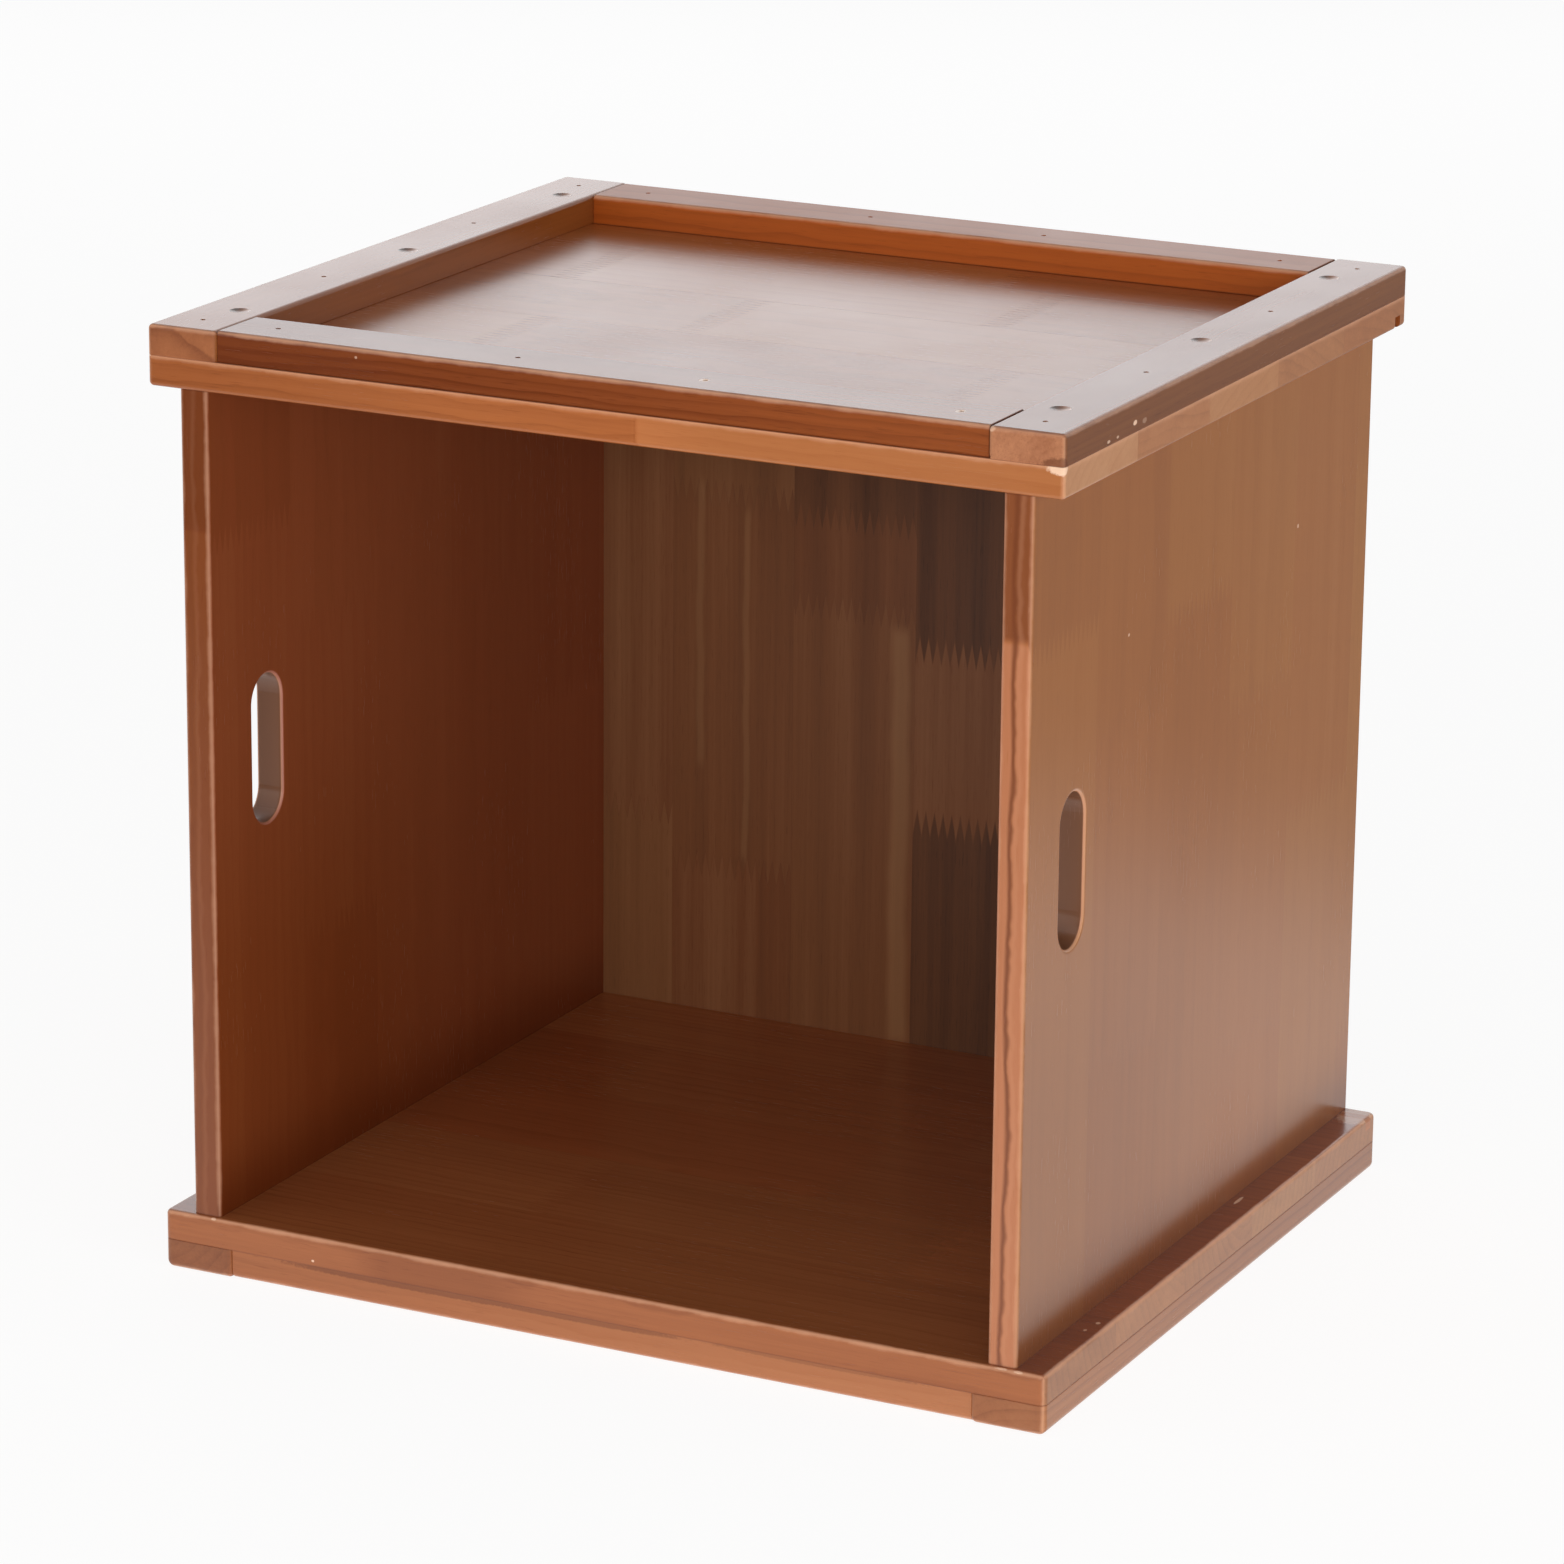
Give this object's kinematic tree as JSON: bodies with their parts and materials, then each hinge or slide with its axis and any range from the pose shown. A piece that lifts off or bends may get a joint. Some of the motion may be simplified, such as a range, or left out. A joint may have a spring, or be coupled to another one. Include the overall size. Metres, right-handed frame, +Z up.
{
  "type": "record storage crate",
  "caption": "Open-fronted stackable wooden crate for records, with a raised tray rim, a base frame, a grooved-in back panel and hand slots in its sides.",
  "frame": {"origin": "on the floor, under the middle of the base frame", "axes": "+X to the right seen from the open front, +Y from the open front to the back, +Z up"},
  "size_m": [0.38, 0.332, 0.38],
  "materials": {
    "panel_wood": "red-brown stain under satin lacquer, grain from side to side",
    "side_wood": "red-brown stain under satin lacquer, upright grain",
    "back_wood": "brown stain on upright finger-jointed staves",
    "rail_wood": "red-brown stain under satin lacquer, grain along each rail",
    "screw_steel": "zinc-plated steel",
    "brad_steel": "bright steel, punched below the surface"
  },
  "bodies": {
    "root": {"back_panel": "back_wood", "base_brads_back": "brad_steel", "base_brads_front": "brad_steel", "base_brads_left": "brad_steel", "base_brads_right": "brad_steel", "base_rail_back": "rail_wood", "base_rail_front": "rail_wood", "base_rail_left": "rail_wood", "base_rail_right": "rail_wood", "base_screws_left": "screw_steel", "base_screws_right": "screw_steel", "bottom_panel": "panel_wood", "groove_slips": "panel_wood", "rim_brads_back": "brad_steel", "rim_brads_front": "brad_steel", "rim_brads_left": "brad_steel", "rim_brads_right": "brad_steel", "rim_plugs_left": "rail_wood", "rim_plugs_right": "rail_wood", "rim_rail_back": "rail_wood", "rim_rail_front": "rail_wood", "rim_rail_left": "rail_wood", "rim_rail_right": "rail_wood", "rim_screws_left": "screw_steel", "rim_screws_right": "screw_steel", "side_panel_left": "side_wood", "side_panel_right": "side_wood", "top_panel": "panel_wood"}
  },
  "joints": []
}
